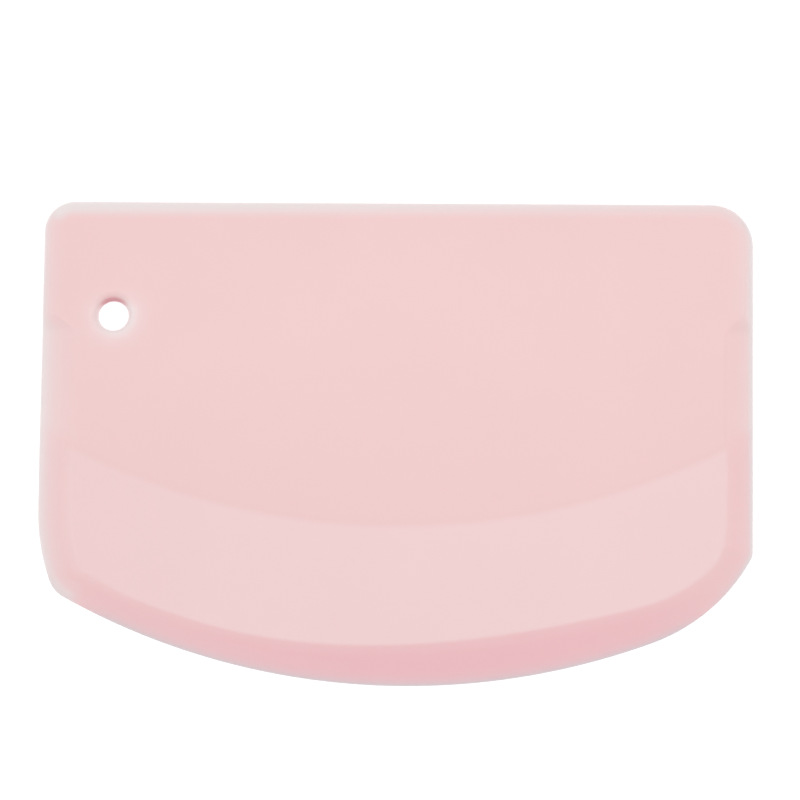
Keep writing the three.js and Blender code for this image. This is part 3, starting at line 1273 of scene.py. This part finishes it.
    def holes(self, core_low: Vector, core_high: Vector) -> list[RoundHole]:
        """Round holes of the jacket.

        Args:
            core_low: Lowest corner of the core plate, in metres.
            core_high: Highest corner of the core plate, in metres.

        Returns:
            The hang hole and the holes that the mould's pins left in the back.
        """
        hang_rim, pin_rim, pin_steps = self.hang_hole_rim, self.pin_hole_rim, self.pin_hole_rim_steps
        holes = [RoundHole("hang_hole", self.hang_hole, self.thickness, hang_rim, Opening.THROUGH)]
        to_core = core_low.z / MM - self.core_clearance / 2
        for row in self.pin_rows_from_core:
            for x in (-self.pin_hole_x, self.pin_hole_x):
                wall = Circle(x, core_high.y / MM - row, self.pin_hole_diameter / 2)
                holes.append(RoundHole("pin_hole", wall, to_core, pin_rim, Opening.FROM_BACK, pin_steps))
        return holes

    def core_space(self, core: Piece) -> Piece:
        """Solid of the space for the core plate, the plate grown by its clearance.

        Args:
            core: The core plate's node.

        Returns:
            The closed solid to cut out of the jacket.
        """
        select_only(core)
        bpy.ops.object.duplicate()
        space = bpy.context.active_object
        space.name = "core_space"
        bpy.ops.object.mode_set(mode="EDIT")
        bpy.ops.mesh.select_all(action="SELECT")
        bpy.ops.mesh.remove_doubles(threshold=SAME_PLACE)
        bpy.ops.transform.shrink_fatten(value=self.core_clearance * MM, use_even_offset=True)
        bpy.ops.object.mode_set(mode="OBJECT")
        return space

    def build(self, core: Piece) -> Piece:
        """Models and dresses the jacket around its core plate.

        Args:
            core: The core plate's node.

        Returns:
            The finished piece.
        """
        core_low, core_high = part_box(core.name)
        linings = [hole.lining() for hole in self.holes(core_low, core_high)]
        piece = self.skin()
        select_only(*linings, piece)
        bpy.ops.object.join()
        self.fill_faces(piece)
        cut(piece, self.core_space(core))
        select_only(piece)
        bpy.ops.object.shade_smooth_by_angle(angle=self.smooth_angle)
        apply_modifier(piece, "WEIGHTED_NORMAL", keep_sharp=True)
        self.dress(piece)
        return piece

    def dress(self, piece: Piece) -> None:
        """Gives the jacket its silicone and ties it to the frame.

        Args:
            piece: The modelled jacket.
        """
        piece.data.materials.clear()
        piece.data.materials.append(self.finish.material(self.crease, self.hang_hole))
        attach(piece, "root")
        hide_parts(self.NODE)


@dataclass
class CorePlate:
    """The nylon plate inside the jacket, seen through the pin holes in the back."""

    finish: NylonFinish = NylonFinish()

    NODE = "core_plate"
    SLOT = "natural_nylon"

    def dress(self) -> Piece:
        """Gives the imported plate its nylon.

        Returns:
            The plate's node.
        """
        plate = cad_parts[self.NODE]
        plate.data.materials.clear()
        plate.data.materials.append(self.finish.material())
        return plate


@dataclass(frozen=True)
class Lamp:
    """A soft rectangular light that faces the card, with its location and size in metres."""

    place: LampPlace
    location: tuple[float, float, float]
    size: Range
    power: float

    def build(self) -> None:
        """Adds the light and turns it towards the card's middle."""
        bpy.ops.object.select_all(action="DESELECT")
        bpy.ops.object.light_add(type="AREA", location=self.location)
        lamp = bpy.context.active_object
        lamp.name = self.place.name.lower()
        way = Vector((0.0, 0.0, 0.0)) - Vector(self.location)
        lamp.rotation_euler = way.to_track_quat("-Z", "Y").to_euler()
        lamp.data.shape = "RECTANGLE"
        lamp.data.size, lamp.data.size_y = self.size
        lamp.data.energy = self.power


@dataclass
class Studio:
    """Pale floor, soft light from all round, and the camera of the picture.

    The floor's size and the camera's clip range are in metres.
    """

    floor_size: float = 12.0
    sky: float = 0.73
    horizon: float = 1.0
    horizon_height: Range = (0.1, 0.25)
    lamps: tuple[Lamp, ...] = (
        Lamp(LampPlace.OVER_BODY, (0.0, 0.1, 0.36), (0.22, 0.06), 0.135),
        Lamp(LampPlace.UPPER_LEFT, (-0.32, 0.13, 0.6), (0.2, 0.2), 0.15),
        Lamp(LampPlace.UPPER_RIGHT, (0.33, 0.13, 0.6), (0.2, 0.2), 0.2),
        Lamp(LampPlace.LEFT, (-1.5, 0.0, 1.2), (1.0, 1.0), 4.0),
        Lamp(LampPlace.RIGHT, (1.5, 0.0, 1.2), (1.0, 1.0), 4.0),
    )
    camera_target: tuple[float, float, float] = (0.84, 8.75, 2.3)
    camera_distance: float = 1000.0
    camera_tilt: float = math.radians(11.1)
    camera_aside: float = math.radians(11.0)
    camera_roll: float = math.radians(0.78)
    camera_clip: Range = (0.01, 100.0)
    frame_width: float = 162.8
    sensor: float = 36.0
    finish: FloorFinish = FloorFinish()

    def floor(self) -> None:
        """Adds the floor under the card's back."""
        bpy.ops.object.select_all(action="DESELECT")
        bpy.ops.mesh.primitive_plane_add(size=self.floor_size)
        floor = bpy.context.active_object
        floor.name = "floor"
        floor.data.materials.append(self.finish.material())

    def world(self) -> None:
        """Lights the room: soft from above, and white at the horizon."""
        world = bpy.data.worlds.new("white_room")
        bpy.context.scene.world = world
        world.use_nodes = True
        board = NodeBoard(world.node_tree)
        height = board.axis(board.add("TexCoord").outputs["Generated"], "Z")
        strength = board.span(height, self.horizon_height, (self.horizon, self.sky))
        background = board.add("Background", Color=with_alpha(WHITE), Strength=strength)
        board.add("OutputWorld", Surface=background.outputs[0])

    def camera(self) -> None:
        """Adds the camera, tilted from straight above towards the lip and a little to the right."""
        aside, lean = self.camera_aside, math.sin(self.camera_tilt)
        back = Vector((lean * math.sin(aside), -lean * math.cos(aside), math.cos(self.camera_tilt)))
        place = (Vector(self.camera_target) + back * self.camera_distance) * MM
        bpy.ops.object.camera_add(location=place)
        camera = bpy.context.active_object
        camera.name = "camera"
        across = Vector((0.0, 1.0, 0.0)).cross(back).normalized()
        upright = Matrix((across, back.cross(across), back)).transposed()
        camera.rotation_euler = (upright @ Matrix.Rotation(self.camera_roll, 3, "Z")).to_euler()
        camera.data.sensor_width = self.sensor
        camera.data.lens = self.sensor * self.camera_distance / self.frame_width
        camera.data.clip_start, camera.data.clip_end = self.camera_clip
        bpy.context.scene.camera = camera

    def build(self) -> None:
        """Sets up the floor, the light and the camera."""
        self.floor()
        self.world()
        for lamp in self.lamps:
            lamp.build()
        self.camera()
        bpy.context.scene.view_settings.view_transform = "Standard"


def main() -> None:
    """Builds the studio and the card, piece by piece."""
    logging.basicConfig(level=logging.INFO, format="%(name)s: %(message)s")
    Studio().build()
    log.info("studio: floor, light and camera")
    low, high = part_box(Jacket.NODE)
    span = (high - low) / MM
    plate = CorePlate().dress()
    log.info("%s: dressed in nylon", plate.name)
    jacket = Jacket(CardOutline(span.x, span.y), span.z).build(plate)
    log.info("%s: %d faces, replaces %s", jacket.name, len(jacket.data.polygons), Jacket.NODE)


if __name__ == "__main__":
    main()
